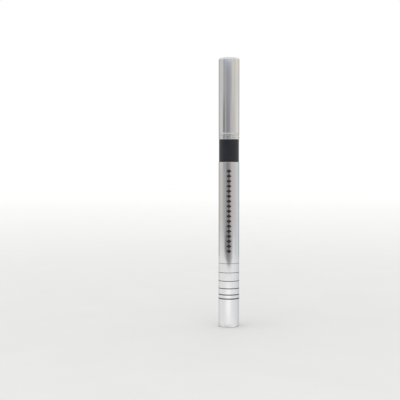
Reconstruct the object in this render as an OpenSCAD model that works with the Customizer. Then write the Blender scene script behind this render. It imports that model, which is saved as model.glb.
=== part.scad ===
// Liquid eyeliner pen with a push-on cap, an ink tank and a fine brush tip.
// Millimetres, +Z up. The pen stands on its tail with the cap on top, and the origin is the
// centre of the tail face. Nearly every piece is turned about the Z axis.

/* [Outer shell] */
// Outside diameter of the metal sleeves
body_d = 10.5; // [10:0.1:12]
// Height of the barrel, from the tail face to the centre band
barrel_l = 84; // [76:0.5:92]
// Height of the centre band
band_l = 11.5; // [8:0.5:14]
// Height of the cap with its mouth ring
cap_l = 41.5; // [36:0.5:48]
// Wall of the metal sleeves
sleeve_wall = 0.4; // [0.3:0.05:0.5]
// Bevel at the open end of each metal sleeve
sleeve_bevel = 0.2; // [0.1:0.05:0.25]
// How far the centre band lies below the metal sleeves
band_recess = 0.16; // [0.05:0.01:0.25]
// Wall of the centre band
band_wall = 0.6; // [0.5:0.05:0.8]
// Bevel at both ends of the centre band
band_bevel = 0.12; // [0.05:0.01:0.2]

/* [Tail] */
// Thickness of the tail plug's flange
tail_flange_t = 1.5; // [1.2:0.1:2.5]
// Radius of the tail plug's outer edge
tail_edge_r = 0.8; // [0.4:0.1:1]
// Length of the tail plug's spigot inside the sleeve
tail_spigot_l = 3.5; // [2.5:0.5:5]
// Wall of the tail plug's spigot
tail_spigot_wall = 1; // [0.8:0.1:1.2]

/* [Cap shell] */
// Thickness of the cap's closed top
cap_top_t = 0.6; // [0.5:0.1:1]
// Radius of the cap's top edge
cap_shoulder_r = 1.3; // [0.9:0.1:1.8]
// Height of the grooved ring at the cap's mouth
mouth_ring_l = 3.05; // [2.4:0.05:3.6]
// Rounding of the ring's upper edge
mouth_crown_r = 0.3; // [0.15:0.05:0.35]
// Thickness of the ring's inward lip under the lining
mouth_lip_t = 0.4; // [0.3:0.05:0.6]
// Width of each groove round the mouth ring
mouth_groove_w = 0.35; // [0.25:0.05:0.45]
// Depth of each groove round the mouth ring
mouth_groove_depth = 0.18; // [0.1:0.01:0.2]

/* [Cap lining and seal] */
// Wall of the lining where it slides over the neck
liner_wall = 0.55; // [0.45:0.05:0.8]
// Thickness of the ledge that keeps the seal cup in the lining
ledge_t = 1; // [0.8:0.1:1.4]
// Height of the plug that closes the top of the lining
liner_plug_l = 5.2; // [4:0.1:7]
// Wall of that plug
liner_plug_wall = 1; // [0.8:0.1:1.2]
// Wall of the seal cup
cup_wall = 0.5; // [0.4:0.05:0.6]
// Height of the seal cup below its flange
cup_skirt_l = 5; // [4:0.25:6]
// Thickness of the seal cup's flange
cup_flange_t = 1; // [0.8:0.1:1.4]
// How far the seal cup drops when the cap is off
cup_drop = 1; // [0.6:0.1:1.4]
// How far the seal cup can be pushed up
cup_travel = 1.2; // [0.8:0.1:1.4]
// Room inside the seal cup beyond the brush point
tip_room = 1; // [0.6:0.1:1.4]
// Wire diameter of the seal spring
spring_wire_d = 0.35; // [0.25:0.05:0.4]
// Turns of the seal spring
spring_turns = 6; // [4:1:8]

/* [Neck and nose] */
// Height of the neck that the cap slides over
neck_l = 11; // [9.5:0.5:12]
// Wall of the neck round the nose cone's spigot
neck_wall = 1; // [0.8:0.05:1.2]
// How far the click bead stands out of the neck
bead_h = 0.08; // [0.04:0.01:0.09]
// Radius of the click bead's section
bead_r = 0.4; // [0.3:0.05:0.6]
// Step from the neck down to the foot of the taper
cone_step = 0.2; // [0.1:0.05:0.4]
// Outside diameter of the nozzle
nozzle_d = 4; // [3.8:0.1:4.4]
// Length of the nozzle
nozzle_l = 3; // [2.5:0.25:4]
// Length of the nose cone's spigot inside the neck
nose_spigot_l = 8; // [6:0.5:9]

/* [Brush tip] */
// Diameter of the brush where it leaves its holder
brush_d = 1.7; // [1.2:0.1:1.8]
// Length of the brush outside its holder
brush_l = 8; // [6:0.5:9]
// Thickness of the fused disc at the root of the brush
brush_root_t = 0.6; // [0.4:0.1:1]
// Outside diameter of the tip holder
holder_d = 3; // [2.8:0.1:3.2]
// Length of the tip holder
holder_l = 12.4; // [11:0.2:13]
// Length of the tip holder's narrow bore, which grips the brush
holder_grip_l = 6; // [5:0.25:7]
// How far the tip holder stands out of the nozzle
holder_proud = 0.4; // [0.2:0.1:0.8]
// Diameter of the relay core that feeds the brush
relay_d = 2.1; // [1.9:0.1:2.2]

/* [Ink system] */
// Wall of the ink tank
tank_wall = 0.7; // [0.6:0.05:0.9]
// Space between the ink tank and the barrel sleeve
tank_gap = 0.15; // [0.1:0.05:0.2]
// Thickness of the tank stopper's flange
stopper_flange_t = 0.8; // [0.6:0.1:1.2]
// Length of the tank stopper inside the tank
stopper_l = 4; // [3:0.5:6]
// Wall of the tank stopper
stopper_wall = 1; // [0.8:0.1:1.3]
// Length of the front section's skirt inside the barrel sleeve
skirt_l = 13; // [10:0.5:16]
// Length of the front section's plug inside the tank
front_plug_l = 5; // [4:0.5:7]
// Wall of the front section's plug
front_plug_wall = 1.2; // [1.1:0.05:1.3]
// Cord diameter of the front seal ring
seal_cord_d = 0.8; // [0.6:0.05:0.9]
// Diameter of the collector's core
collector_core_d = 3.2; // [2.8:0.1:3.6]
// Thickness of each collector fin
fin_t = 0.5; // [0.4:0.05:0.7]
// Gap between two collector fins
fin_gap = 0.9; // [0.6:0.05:1.2]
// Length of the solid block at the collector's lower end
collector_block_l = 2.5; // [1.5:0.25:4]
// Width of the slot down the collector's fins
collector_slot_w = 0.5; // [0.3:0.05:0.8]
// Diameter of the feed wick
wick_d = 1.8; // [1.4:0.1:2]
// How far the feed wick dips into the tank below the collector
wick_dip_l = 8; // [4:0.5:12]
// Diameter of the mixing ball
ball_d = 3.2; // [2.5:0.1:4.5]

/* [Fits] */
// Radial clearance of seats that are pressed together
seat_gap = 0.02; // [0.01:0.01:0.04]
// Radial clearance of the cap and the seal cup on what they slide over
slide_gap = 0.1; // [0.1:0.01:0.14]
// End clearance between the cap's pieces and what they close on
end_gap = 0.05; // [0.03:0.01:0.1]

/* [Hidden] */
$fn = 96;
// Overrun of every cut past the face that it opens
overrun = 1;

// Radii of the shell, from the outside inwards
body_r = body_d / 2;
sleeve_in_r = body_r - sleeve_wall;
band_r = body_r - band_recess;
band_in_r = band_r - band_wall;
skirt_r = sleeve_in_r - seat_gap;
liner_bore_r = skirt_r - liner_wall;
neck_r = liner_bore_r - slide_gap;
socket_r = neck_r - neck_wall;
shoulder_in_r = cap_shoulder_r - sleeve_wall;

// Radii of the nose and the brush
nozzle_r = nozzle_d / 2;
holder_r = holder_d / 2;
brush_r = brush_d / 2;
relay_r = relay_d / 2;
wick_r = wick_d / 2;
// Places along the brush where its belly ends and its point begins, as shares of its length
brush_belly_share = 0.35;
brush_taper_share = 0.7;
// Radius at those two places, as shares of the brush's own
brush_belly_r_share = 0.9;
brush_taper_r_share = 0.55;
// Radius of the brush's very point
brush_point_r = 0.06;

// Radii of the seal cup, its spring and their chamber
cup_in_r = nozzle_r + slide_gap;
cup_out_r = cup_in_r + cup_wall;
spring_wire_r = spring_wire_d / 2;
// Space between the spring's turns and the seal cup
spring_side_gap = 0.2;
spring_r = cup_out_r + spring_side_gap + spring_wire_r;
// How far the seal cup's flange reaches past the spring
flange_margin = 0.3;
flange_r = spring_r + spring_wire_r + flange_margin;
chamber_r = flange_r + slide_gap;

// Radii of the ink system
tank_r = sleeve_in_r - tank_gap;
tank_bore_r = tank_r - tank_wall;
plug_r = tank_bore_r - seat_gap;
collector_bore_r = plug_r - front_plug_wall;
fin_r = collector_bore_r - seat_gap;
core_r = collector_core_d / 2;
ball_r = ball_d / 2;
// Height of the tank stopper's two sealing ribs, and where they lie along it
stopper_rib_h = 0.15;
stopper_rib_l = 0.6;
stopper_rib_shares = [0.3, 0.75];

// Heights, from the tail up
spigot_top_z = tail_flange_t + tail_spigot_l;
tank_z = spigot_top_z + stopper_flange_t;
stopper_top_z = tank_z + stopper_l;
skirt_z = barrel_l - skirt_l;
front_plug_z = skirt_z - front_plug_l;
wick_z = front_plug_z - wick_dip_l;
band_top_z = barrel_l + band_l;
neck_top_z = band_top_z + neck_l;
socket_z = neck_top_z - nose_spigot_l;
pen_l = band_top_z + cap_l;

// Heights of the cap's shell and lining
mouth_z = band_top_z + end_gap;
mouth_top_z = band_top_z + mouth_ring_l;
liner_z = mouth_z + mouth_lip_t;
cap_roof_z = pen_l - cap_top_t;
liner_top_z = cap_roof_z - shoulder_in_r;
plug_top_z = cap_roof_z - end_gap;
liner_plug_z = plug_top_z - liner_plug_l;

// The brush reaches up to the room that the cap leaves it, and the nose is as long as that asks
cup_top_z = liner_plug_z - end_gap - cup_travel;
brush_point_z = cup_top_z - cup_wall - tip_room;
holder_top_z = brush_point_z - brush_l;
holder_z = holder_top_z - holder_l;
grip_z = holder_top_z - holder_grip_l;
brush_root_z = grip_z - brush_root_t;
nozzle_top_z = holder_top_z - holder_proud;
cone_top_z = nozzle_top_z - nozzle_l;
cone_l = cone_top_z - neck_top_z;

// Heights of the seal cup and the ledge that keeps it
cup_z = cone_top_z + end_gap;
cup_flange_z = cup_z + cup_skirt_l;
cup_flange_top_z = cup_flange_z + cup_flange_t;
ledge_top_z = cup_flange_z - cup_drop;
ledge_z = ledge_top_z - ledge_t;

// The click bead sits at this share of the neck's height, in a groove of the lining
bead_share = 0.5;
bead_z = band_top_z + neck_l * bead_share;
// Width of that groove, in bead radii
click_groove_share = 3;
click_groove_l = bead_r * click_groove_share;
// Middle of each mouth groove, as a share of the ring's height
mouth_groove_shares = [0.33, 0.68];
// The groove for the front seal ring sits at this share of the plug's length
seal_groove_share = 0.5;
seal_z = front_plug_z + front_plug_l * seal_groove_share;
// Width of that groove, as a share of the ring's cord
seal_groove_width_share = 1.25;
seal_groove_l = seal_cord_d * seal_groove_width_share;
seal_cord_r = (seal_cord_d - seat_gap) / 2;

// Colours as the photograph shows them
silver = [0.76, 0.76, 0.77];
bright_silver = [0.84, 0.84, 0.85];
black = [0.13, 0.13, 0.14];
milky = [0.88, 0.89, 0.88];
pale_blue = [0.70, 0.78, 0.84];
fibre = [0.93, 0.91, 0.86];
steel = [0.62, 0.64, 0.66];

// A turned piece from half of its section: points are [radius, height]
module turned(section) {
    rotate_extrude() polygon(section);
}

// A plain rod or disc between two heights
module rod(r, z0, z1) {
    translate([0, 0, z0]) cylinder(r = r, h = z1 - z0);
}

// A plain tube between two heights
module tube(r, bore, z0, z1) {
    difference() {
        rod(r, z0, z1);
        rod(bore, z0 - overrun, z1 + overrun);
    }
}

// The section of a cup that is closed at the top, with a round top edge
module capped_section(r, edge, z0, z1) {
    translate([0, z0]) square([r, z1 - edge - z0]);
    translate([0, z0]) square([r - edge, z1 - z0]);
    translate([r - edge, z1 - edge]) intersection() {
        circle(r = edge);
        square([edge, edge]);
    }
}

// A groove round a shaft of radius r, centred on a height
module ring_cut(r, depth, width, z) {
    tube(r + overrun, r - depth, z - width / 2, z + width / 2);
}

// A bevel round the lower end of a shaft of radius r
module bevel_cut(r, bevel, z) {
    turned([
        [r - bevel, z],
        [r, z + bevel],
        [r + overrun, z + bevel],
        [r + overrun, z - overrun],
        [r - bevel, z - overrun]
    ]);
}

// Closes the tail of the barrel, and is the foot that the pen stands on
module tail_plug() {
    color(silver) difference() {
        union() {
            translate([0, 0, tail_flange_t]) mirror([0, 0, 1])
                rotate_extrude() capped_section(body_r, tail_edge_r, 0, tail_flange_t);
            rod(skirt_r, tail_flange_t, spigot_top_z);
        }
        rod(skirt_r - tail_spigot_wall, tail_flange_t, spigot_top_z + overrun);
    }
}

// Drawn metal sleeve round the ink tank
module barrel_sleeve() {
    color(silver) turned([
        [sleeve_in_r, tail_flange_t],
        [body_r, tail_flange_t],
        [body_r, barrel_l - sleeve_bevel],
        [body_r - sleeve_bevel, barrel_l],
        [sleeve_in_r, barrel_l]
    ]);
}

// Stops the tail end of the tank, with two sealing ribs
module tank_stopper() {
    color(pale_blue) difference() {
        union() {
            rod(tank_r, spigot_top_z, tank_z);
            rod(plug_r - stopper_rib_h, tank_z, stopper_top_z);
            for (share = stopper_rib_shares)
                rod(plug_r, tank_z + stopper_l * share - stopper_rib_l / 2,
                    tank_z + stopper_l * share + stopper_rib_l / 2);
        }
        rod(plug_r - stopper_rib_h - stopper_wall, spigot_top_z - overrun, stopper_top_z - stopper_wall);
    }
}

// Moulded tube that holds the ink
module ink_tank() {
    color(milky) tube(tank_r, tank_bore_r, tank_z, skirt_z);
}

// Steel ball that stirs the ink when the pen is shaken
module mixing_ball() {
    color(steel) translate([0, 0, stopper_top_z + seat_gap + ball_r]) sphere(r = ball_r);
}

// Black moulding that joins the tank, the centre band and the nose, with the cap's neck
module front_section() {
    color(black) difference() {
        union() {
            rod(plug_r, front_plug_z, skirt_z);
            rod(skirt_r, skirt_z, barrel_l);
            rod(band_in_r - seat_gap, barrel_l, band_top_z);
            rod(neck_r, band_top_z, neck_top_z);
            translate([0, 0, bead_z]) rotate_extrude()
                translate([neck_r + bead_h - bead_r, 0]) circle(r = bead_r);
        }
        ring_cut(plug_r, seal_cord_d, seal_groove_l, seal_z);
        rod(collector_bore_r, front_plug_z - overrun, band_top_z);
        rod(relay_r + seat_gap, band_top_z - overrun, socket_z + overrun);
        rod(socket_r, socket_z, neck_top_z + overrun);
    }
}

// Rubber ring that seals the front section in the tank
module front_seal_ring() {
    color(black) translate([0, 0, seal_z]) rotate_extrude()
        translate([plug_r - seal_cord_r, 0]) circle(r = seal_cord_r);
}

// Comb of fins that takes up ink when the pen warms, with a slot down one side
module ink_collector() {
    fins_z = front_plug_z + collector_block_l;
    fin_pitch = fin_t + fin_gap;
    fins = floor((band_top_z - fins_z - fin_t) / fin_pitch);
    color(milky) difference() {
        rod(fin_r, front_plug_z, band_top_z);
        rod(wick_r + seat_gap, front_plug_z - overrun, band_top_z + overrun);
        for (i = [0:fins - 1])
            ring_cut(fin_r, fin_r - core_r, fin_gap, fins_z + i * fin_pitch + fin_gap / 2);
        translate([core_r, -collector_slot_w / 2, fins_z])
            cube([fin_r, collector_slot_w, band_top_z - fins_z + overrun]);
    }
}

// Fibre rod that draws ink out of the tank through the collector
module feed_wick() {
    color(fibre) rod(wick_r, wick_z, band_top_z);
}

// Fibre rod that passes the ink on to the root of the brush
module relay_core() {
    color(fibre) rod(relay_r, band_top_z, brush_root_z);
}

// Plain black band between the barrel and the cap
module centre_band() {
    color(black) turned([
        [band_in_r, barrel_l],
        [band_r - band_bevel, barrel_l],
        [band_r, barrel_l + band_bevel],
        [band_r, band_top_z - band_bevel],
        [band_r - band_bevel, band_top_z],
        [band_in_r, band_top_z]
    ]);
}

// Black taper with the nozzle, which carries the tip holder
module nose_cone() {
    color(black) difference() {
        union() {
            rod(socket_r - seat_gap, socket_z, neck_top_z);
            translate([0, 0, neck_top_z])
                cylinder(r1 = neck_r - cone_step, r2 = cup_out_r, h = cone_l);
            rod(nozzle_r, cone_top_z, nozzle_top_z);
        }
        rod(relay_r + seat_gap, socket_z - overrun, holder_z + overrun);
        rod(holder_r + seat_gap, holder_z, nozzle_top_z + overrun);
    }
}

// Sleeve that grips the brush and the end of the relay core
module tip_holder() {
    color(black) difference() {
        rod(holder_r, holder_z, holder_top_z);
        rod(relay_r + seat_gap, holder_z - overrun, grip_z);
        rod(brush_r + seat_gap, grip_z - overrun, holder_top_z + overrun);
    }
}

// Bundle of tapered filaments, fused into a disc at the root
module brush_tip() {
    belly_z = holder_top_z + brush_l * brush_belly_share;
    taper_z = holder_top_z + brush_l * brush_taper_share;
    color(black) turned([
        [0, brush_root_z],
        [relay_r, brush_root_z],
        [relay_r, grip_z],
        [brush_r, grip_z],
        [brush_r, holder_top_z],
        [brush_r * brush_belly_r_share, belly_z],
        [brush_r * brush_taper_r_share, taper_z],
        [brush_point_r, brush_point_z],
        [0, brush_point_z]
    ]);
}

// Drawn metal sleeve of the cap, closed at the top
module cap_sleeve() {
    color(silver) difference() {
        rotate_extrude() capped_section(body_r, cap_shoulder_r, mouth_top_z, pen_l);
        rotate_extrude() capped_section(sleeve_in_r, shoulder_in_r, mouth_top_z - overrun, cap_roof_z);
        bevel_cut(body_r, sleeve_bevel, mouth_top_z);
    }
}

// Bright ring with two grooves at the cap's mouth
module cap_mouth_ring() {
    color(bright_silver) difference() {
        rotate_extrude() capped_section(body_r, mouth_crown_r, mouth_z, mouth_top_z);
        rod(liner_bore_r, mouth_z - overrun, liner_z + overrun);
        rod(sleeve_in_r, liner_z, mouth_top_z + overrun);
        bevel_cut(body_r, sleeve_bevel, mouth_z);
        for (share = mouth_groove_shares)
            ring_cut(body_r, mouth_groove_depth, mouth_groove_w, band_top_z + mouth_ring_l * share);
    }
}

// Moulded lining of the cap, with the click groove, the ledge and the spring chamber
module cap_liner() {
    color(milky) difference() {
        rod(skirt_r, liner_z, liner_top_z);
        rod(liner_bore_r, liner_z - overrun, ledge_z);
        tube(liner_bore_r + bead_h, liner_bore_r - overrun, bead_z - click_groove_l / 2,
            bead_z + click_groove_l / 2);
        rod(cup_out_r + slide_gap, ledge_z - overrun, ledge_top_z + overrun);
        rod(chamber_r, ledge_top_z, liner_top_z + overrun);
    }
}

// Closes the spring chamber and carries the upper end of the spring
module liner_plug() {
    color(milky) difference() {
        union() {
            rod(chamber_r - seat_gap, liner_plug_z, liner_top_z);
            rod(sleeve_in_r - shoulder_in_r, liner_top_z, plug_top_z);
        }
        rod(chamber_r - seat_gap - liner_plug_wall, liner_plug_z + liner_plug_wall, pen_l);
    }
}

// Small cup that shuts over the nozzle and keeps the brush from drying
module seal_cup() {
    color(pale_blue) difference() {
        union() {
            rod(cup_out_r, cup_z, cup_top_z);
            rod(flange_r, cup_flange_z, cup_flange_top_z);
        }
        rod(cup_in_r, cup_z - overrun, cup_top_z - cup_wall);
    }
}

// The spring's wire is swept as one tube with this many sides and rings in each turn
spring_sides = 6;
spring_steps = 16;
spring_rings = spring_turns * spring_steps;
spring_z = cup_flange_top_z + end_gap + spring_wire_r;
spring_top_z = liner_plug_z - end_gap - spring_wire_r;
spring_rise = spring_top_z - spring_z;
function spring_point(i) = let (a = 360 * i / spring_steps)
    [spring_r * cos(a), spring_r * sin(a), spring_z + spring_rise * i / spring_rings];
function spring_heading(i) = let (a = 360 * i / spring_steps,
        d = [-sin(a), cos(a), spring_rise / (spring_turns * 2 * PI * spring_r)])
    d / norm(d);
function spring_ring(i) = let (a = 360 * i / spring_steps, out = [cos(a), sin(a), 0],
        up = cross(out, spring_heading(i)))
    [for (s = [0:spring_sides - 1]) let (b = 360 * s / spring_sides)
        spring_point(i) + spring_wire_r * (cos(b) * out + sin(b) * up)];
spring_least_gap = min([for (i = [0:spring_rings]) for (j = [i + spring_steps / 2:spring_rings])
    norm(spring_point(i) - spring_point(j))]) - spring_wire_d;
echo(str("seal_spring least gap to itself ", spring_least_gap, " mm"));

// Steel wire spring that pushes the seal cup down on the nozzle
module seal_spring() {
    points = [for (i = [0:spring_rings]) each spring_ring(i)];
    last = spring_rings * spring_sides;
    walls = [for (i = [0:spring_rings - 1]) for (s = [0:spring_sides - 1])
        let (a = i * spring_sides + s, b = i * spring_sides + (s + 1) % spring_sides)
            each [[a, a + spring_sides, b], [b, a + spring_sides, b + spring_sides]]];
    ends = [for (s = [1:spring_sides - 2]) each [[0, s, s + 1], [last, last + s + 1, last + s]]];
    color(steel) polyhedron(points = points, faces = concat(walls, ends));
}

tail_plug();
barrel_sleeve();
tank_stopper();
ink_tank();
mixing_ball();
front_section();
front_seal_ring();
ink_collector();
feed_wick();
relay_core();
centre_band();
nose_cone();
tip_holder();
brush_tip();
cap_sleeve();
cap_mouth_ring();
cap_liner();
liner_plug();
seal_cup();
seal_spring();
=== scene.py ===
"""Looks of a slim liquid eyeliner pen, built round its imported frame.

All sizes are metres, in the frame's own axes: +Z runs from the tail to the cap, and -Y is the
side that the camera sees. Round pieces are turned from their outlines by one Geometry Nodes
tree, and the printed marks, the brush and the seal's spring have a tree each.
"""

from __future__ import annotations

import logging
import math
from collections.abc import Mapping, Sequence
from dataclasses import dataclass, field
from enum import Enum

import bmesh
import bpy
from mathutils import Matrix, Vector

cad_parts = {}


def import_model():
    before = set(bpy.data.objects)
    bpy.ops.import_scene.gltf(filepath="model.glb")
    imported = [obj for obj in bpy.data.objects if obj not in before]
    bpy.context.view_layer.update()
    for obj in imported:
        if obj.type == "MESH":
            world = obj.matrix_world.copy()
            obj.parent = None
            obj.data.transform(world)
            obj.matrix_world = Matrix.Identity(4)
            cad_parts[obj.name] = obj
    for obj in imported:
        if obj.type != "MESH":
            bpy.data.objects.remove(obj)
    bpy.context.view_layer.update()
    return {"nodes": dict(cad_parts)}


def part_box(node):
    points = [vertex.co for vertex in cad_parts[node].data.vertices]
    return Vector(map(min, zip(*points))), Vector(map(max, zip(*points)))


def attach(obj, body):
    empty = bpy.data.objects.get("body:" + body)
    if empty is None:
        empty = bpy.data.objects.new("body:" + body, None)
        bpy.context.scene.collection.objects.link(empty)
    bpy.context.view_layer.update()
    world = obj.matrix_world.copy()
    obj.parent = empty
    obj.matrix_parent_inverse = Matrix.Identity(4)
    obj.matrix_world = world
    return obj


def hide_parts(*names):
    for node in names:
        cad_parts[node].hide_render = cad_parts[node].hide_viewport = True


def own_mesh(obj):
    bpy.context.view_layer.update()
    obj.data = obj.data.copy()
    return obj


LOG = logging.getLogger("eyeliner_pen")

# Turn between points on an arc, turn from one filament to the next, and the angle from which an
# edge is crisp.
ARC_STEP = math.radians(9)
GOLDEN_ANGLE = math.pi * (3 - math.sqrt(5))
SHARP_ANGLE = math.radians(30)
# A straight stretch that is this many times as long as a soft corner's reach gets a point at this
# many times the reach.
GUARD_REACH = 8.0
GUARD_PLACE = 2.0
# Radius of the circle that outlines are swept round, its sides, and how close merged points lie.
SPINE_R = 0.001
ROUND_SIDES = 160
WELD = 1e-7
# The part of a noise pattern that finishes use, the slow pattern's share in the gloss, and how
# deep light passes under the surface of milky plastic.
NOISE_RANGE = (0.35, 0.65)
CLOUD_SHARE = 0.7
GLOW_DEPTH = 0.0008

Colour = tuple[float, float, float]
Pair = tuple[float, float]
# A light's azimuth in degrees, its strength and its tint.
Light = tuple[float, float, Colour]


class Body(Enum):
    """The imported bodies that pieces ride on."""

    BARREL = "barrel"
    CAP = "cap"
    SEAL = "seal"


class Slot(Enum):
    """Names of the material slots that go with the scene's own pieces."""

    SILVER = "silver_metal"
    BRIGHT = "bright_metal"
    BAND = "black_band"
    BLACK = "black_plastic"
    MILKY = "milky_plastic"
    SEAL = "seal_plastic"
    FILAMENT = "brush_filament"
    STEEL = "steel"


class Graph:
    """A short way to add and link nodes in one tree."""

    def __init__(self, tree: bpy.types.NodeTree, clear: bool = True) -> None:
        """Starts on a tree.

        Args:
            tree: the tree that gets the nodes.
            clear: whether it is emptied first.
        """
        self.tree = tree
        if clear:
            self.tree.nodes.clear()

    def add(self, kind: str, inputs: Mapping | None = None, **settings: object) -> bpy.types.Node:
        """Adds a node.

        Args:
            kind: Blender's name of the node's type.
            inputs: what each input takes, by name or number: a socket to link, or a value.
            settings: the node's own settings.

        Returns:
            The node.
        """
        node = self.tree.nodes.new(kind)
        for key, value in settings.items():
            setattr(node, key, value)
        for key, value in (inputs or {}).items():
            if isinstance(value, bpy.types.NodeSocket):
                self.tree.links.new(value, node.inputs[key])
            else:
                node.inputs[key].default_value = value
        return node

    def maths(self, operation: str, *values: object) -> bpy.types.NodeSocket:
        """Adds a Math node on sockets or numbers."""
        return self.add("ShaderNodeMath", dict(enumerate(values)), operation=operation).outputs[0]

    def remap(self, value: object, low: float, high: float, to: Sequence[object] = (0.0, 1.0),
              smooth: bool = False) -> bpy.types.NodeSocket:
        """Maps a value from one range to another.

        Args:
            value: the socket that is mapped.
            low: the start of its range.
            high: the end of its range.
            to: the two ends of the new range.
            smooth: whether the change starts and ends gently.

        Returns:
            The mapped value.
        """
        node = self.add("ShaderNodeMapRange", {0: value, 1: low, 2: high, 3: to[0], 4: to[1]},
                        interpolation_type="SMOOTHSTEP" if smooth else "LINEAR")
        return node.outputs[0]

    def join(self, x: object = 0.0, y: object = 0.0, z: object = 0.0) -> bpy.types.NodeSocket:
        """Joins three numbers into a vector."""
        return self.add("ShaderNodeCombineXYZ", {0: x, 1: y, 2: z}).outputs[0]

    def split(self, vector: object) -> bpy.types.NodeOutputs:
        """Splits a vector into its three numbers."""
        return self.add("ShaderNodeSeparateXYZ", {0: vector}).outputs

    def polar(self, reach: object, turn: object, height: object) -> bpy.types.NodeSocket:
        """Gives the place at a distance from the Z axis, a turn round it and a height."""
        return self.join(self.maths("MULTIPLY", reach, self.maths("COSINE", turn)),
                         self.maths("MULTIPLY", reach, self.maths("SINE", turn)), height)

    def curve(self, value: object, points: Sequence[Pair]) -> bpy.types.NodeSocket:
        """Looks a value up on a smooth curve.

        Args:
            value: the socket that is looked up, from 0 to 1.
            points: places along the curve with its height there, both ends among them.

        Returns:
            The curve's height.
        """
        node = self.add("ShaderNodeFloatCurve", {"Factor": 1.0, "Value": value})
        bends = node.mapping.curves[0].points
        for place, height in points[1:-1]:
            bends.new(place, height)
        bends[0].location, bends[-1].location = points[0], points[-1]
        node.mapping.update()
        return node.outputs[0]

    def ramp(self, value: object, stops: Sequence[tuple[float, Colour]],
             ease: bool = True) -> bpy.types.NodeSocket:
        """Turns a value into a colour.

        Args:
            value: the socket that chooses the colour, from 0 to 1.
            stops: places along the ramp with their colours.
            ease: whether the colours blend with soft steps.

        Returns:
            The colour.
        """
        node = self.add("ShaderNodeValToRGB", {0: value})
        node.color_ramp.interpolation = "EASE" if ease else "LINEAR"
        elements = node.color_ramp.elements
        while len(elements) < len(stops):
            elements.new(1.0)
        for element, (place, colour) in zip(elements, stops):
            element.position = place
            element.color = (*colour, 1.0)
        return node.outputs["Color"]

    def noise(self, scale: Sequence[float], detail: float = 3.0,
              roughness: float = 0.55) -> bpy.types.NodeSocket:
        """Adds a noise pattern fixed to the piece.

        Args:
            scale: cells per metre along each axis.
            detail: octaves of finer noise.
            roughness: weight of the finer octaves.

        Returns:
            The pattern, near 0.5 on average.
        """
        place = self.add("ShaderNodeTexCoord").outputs["Object"]
        mapped = self.add("ShaderNodeMapping", {"Vector": place, "Scale": tuple(scale)})
        node = self.add("ShaderNodeTexNoise", {
            "Vector": mapped.outputs[0], "Scale": 1.0, "Detail": detail, "Roughness": roughness})
        return node.outputs[0]


@dataclass(frozen=True)
class Finish:
    """A finish whose colour, gloss and fine relief vary a little over the piece.

    Attributes:
        name: the material's name.
        colour: the lighter of its two colours.
        shade: the darker of its two colours.
        gloss: least and greatest roughness.
        cloud: cells per metre of the slow change in colour and gloss.
        grain: cells per metre, along X, Y and Z, of the fine relief.
        depth: height of the fine relief.
        metal: 1 for metal and 0 for anything else.
        depth_glow: share of light that passes under the surface.
        fuzz: share of soft light from loose fibres.
        rim: share of light that metal keeps where it is seen almost edge on.
    """

    name: str
    colour: Colour
    shade: Colour
    gloss: Pair
    cloud: float = 180.0
    grain: tuple[float, float, float] = (3000.0, 3000.0, 3000.0)
    depth: float = 1e-6
    metal: float = 0.0
    depth_glow: float = 0.0
    fuzz: float = 0.0
    rim: float = 1.0

    def material(self) -> bpy.types.Material:
        """Builds the material, or gives it again if it was built.

        Returns:
            The material.
        """
        if self.name in bpy.data.materials:
            return bpy.data.materials[self.name]
        material = bpy.data.materials.new(self.name)
        material.use_nodes = True
        graph = Graph(material.node_tree)
        cloud = graph.noise((self.cloud,) * 3)
        grain = graph.noise(self.grain, detail=2.0)
        blend = graph.add("ShaderNodeMix", {
            0: graph.remap(cloud, *NOISE_RANGE), 6: (*self.shade, 1.0), 7: (*self.colour, 1.0)},
            data_type="RGBA")
        worn = graph.maths("ADD", graph.maths("MULTIPLY", cloud, CLOUD_SHARE),
                           graph.maths("MULTIPLY", grain, 1 - CLOUD_SHARE))
        relief = graph.add("ShaderNodeBump", {
            "Height": grain, "Strength": 1.0, "Distance": self.depth})
        shader = graph.add("ShaderNodeBsdfPrincipled", {
            "Base Color": blend.outputs[2],
            "Roughness": graph.remap(worn, *NOISE_RANGE, self.gloss),
            "Normal": relief.outputs[0],
            "Metallic": self.metal,
            "Subsurface Weight": self.depth_glow,
            "Subsurface Scale": GLOW_DEPTH,
            "Sheen Weight": self.fuzz,
            "Specular Tint": (self.rim, self.rim, self.rim, 1.0),
        })
        graph.add("ShaderNodeOutputMaterial", {"Surface": shader.outputs[0]})
        return material


# Drawn tube has lines along its length, so its grain is long in Z. Turned pieces have rings round
# them.
SILVER = Finish("silver_lacquered_metal", (0.94, 0.94, 0.935), (0.90, 0.90, 0.90), (0.04, 0.07),
                cloud=90.0, grain=(2600.0, 2600.0, 60.0), depth=4e-7, metal=1.0, rim=0.75)
BRIGHT = Finish("bright_turned_metal", (0.93, 0.93, 0.925), (0.88, 0.88, 0.88), (0.06, 0.10),
                cloud=200.0, grain=(150.0, 150.0, 9000.0), depth=3e-7, metal=1.0, rim=0.85)
# Darker than the polished ring: painted shade in the ring's grooves, with a rougher gloss.
GROOVE_PAINTED_SHADE = Finish("groove_metal_painted_shade", (0.78, 0.78, 0.77), (0.70, 0.70, 0.70), (0.18, 0.28),
                cloud=400.0, grain=(150.0, 150.0, 9000.0), depth=6e-7, metal=1.0, rim=0.75)
BAND = Finish("satin_black_band", (0.0075, 0.011, 0.018), (0.005, 0.0075, 0.0125), (0.34, 0.44),
              grain=(5200.0, 5200.0, 5200.0), depth=1.5e-6, fuzz=0.1)
BLACK = Finish("moulded_black_plastic", (0.024, 0.024, 0.026), (0.016, 0.016, 0.017), (0.26, 0.4),
               grain=(4200.0, 4200.0, 4200.0), depth=1.2e-6)
MILKY = Finish("milky_moulded_plastic", (0.82, 0.83, 0.82), (0.74, 0.76, 0.75), (0.32, 0.46),
               depth=1.5e-6, depth_glow=0.35)
SEAL = Finish("pale_blue_seal_plastic", (0.62, 0.72, 0.80), (0.54, 0.64, 0.73), (0.38, 0.5),
              depth=1.5e-6, depth_glow=0.3)
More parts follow.
